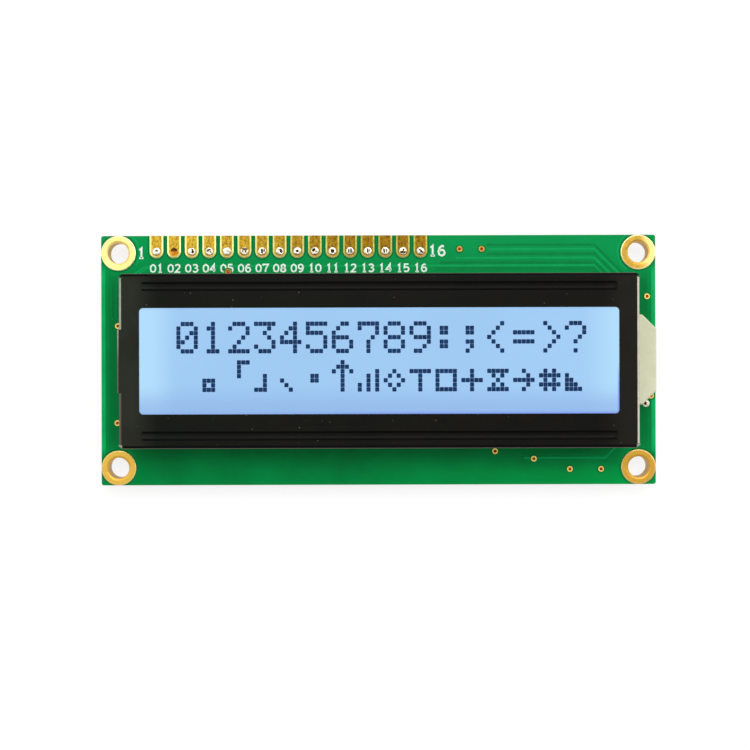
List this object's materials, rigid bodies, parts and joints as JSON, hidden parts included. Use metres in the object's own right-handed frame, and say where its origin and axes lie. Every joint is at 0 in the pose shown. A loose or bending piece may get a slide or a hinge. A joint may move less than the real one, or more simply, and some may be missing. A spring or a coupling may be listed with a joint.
{
  "type": "character lcd module",
  "caption": "Character display: board with plated connector pads and corner holes, carrying a glass cell and edge-lit backlight under a folded black metal bezel.",
  "frame": {"origin": "centre of the four mounting holes, on the back face of the board", "axes": "+X along the lines of characters, from the first to the last; +Y up the characters, towards the connector row; +Z out of the display towards the viewer"},
  "size_m": [0.08, 0.036, 0.0103],
  "materials": {
    "solder_mask": "glossy green mask over glass fibre laminate",
    "gold": "thin gold plating over copper",
    "solder": "bright solder",
    "tin": "tin plating",
    "black_sheet": "satin black stamped steel",
    "polarizer": "satin film",
    "glass": "clear float glass",
    "seal": "cured glue",
    "liquid_crystal": "clear",
    "dark_cells": "dark when driven",
    "contact_rubber": "layered silicone rubber",
    "ivory_plastic": "moulded",
    "white_film": "matt film",
    "clear_plastic": "clear acrylic",
    "lamp_board": "white laminate",
    "lamp": "moulded package",
    "silicon": "polished",
    "black_resin": "smooth potting resin",
    "resistor": "glazed",
    "capacitor": "fired ceramic"
  },
  "bodies": {
    "root": {"circuit_board": "solder_mask", "mount_rings": "gold", "pin_pads": "gold", "pin_solder": "solder", "vias": "gold", "lead_pads": "tin", "lead_solder": "solder", "upper_contacts": "gold", "lower_contacts": "gold", "bezel": "black_sheet", "front_polarizer": "polarizer", "front_glass": "glass", "cell_seal": "seal", "fill_plug": "seal", "liquid_crystal": "liquid_crystal", "dot_cells": "dark_cells", "rear_glass": "glass", "rear_polarizer": "polarizer", "upper_zebra": "contact_rubber", "lower_zebra": "contact_rubber", "backlight_case": "ivory_plastic", "reflector": "white_film", "light_guide": "clear_plastic", "diffuser": "white_film", "lamp_board": "lamp_board", "lamps": "lamp", "lamp_leads": "tin", "controller_die": "silicon", "driver_die": "silicon", "controller_dome": "black_resin", "driver_dome": "black_resin", "chip_lands": "tin", "resistor_bodies": "resistor", "resistor_ends": "tin", "capacitor_bodies": "capacitor", "capacitor_ends": "tin"}
  },
  "joints": []
}
